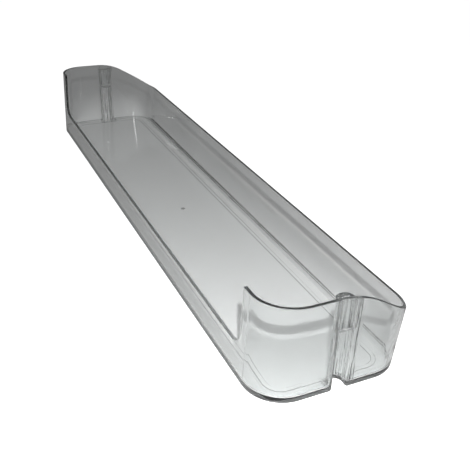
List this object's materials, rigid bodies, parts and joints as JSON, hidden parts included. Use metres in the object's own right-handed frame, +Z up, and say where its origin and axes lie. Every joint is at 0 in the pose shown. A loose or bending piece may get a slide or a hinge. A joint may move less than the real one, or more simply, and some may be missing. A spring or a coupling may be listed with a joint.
{
  "type": "fridge door shelf",
  "caption": "Long clear moulded tray for a fridge door, with high rounded ends, a lower front, a low back lip and a lug channel in each end wall.",
  "frame": {"origin": "centre of the bounding box's bottom, on the plane the shelf stands on", "axes": "+X along the shelf's length, -Y to its front (room side), +Y to the fridge door, +Z up"},
  "size_m": [0.4968, 0.1036, 0.0642],
  "materials": {
    "clear_plastic": "clear moulded plastic, glossy, faintly grey"
  },
  "bodies": {
    "root": {"door_shelf": "clear_plastic"}
  },
  "joints": []
}
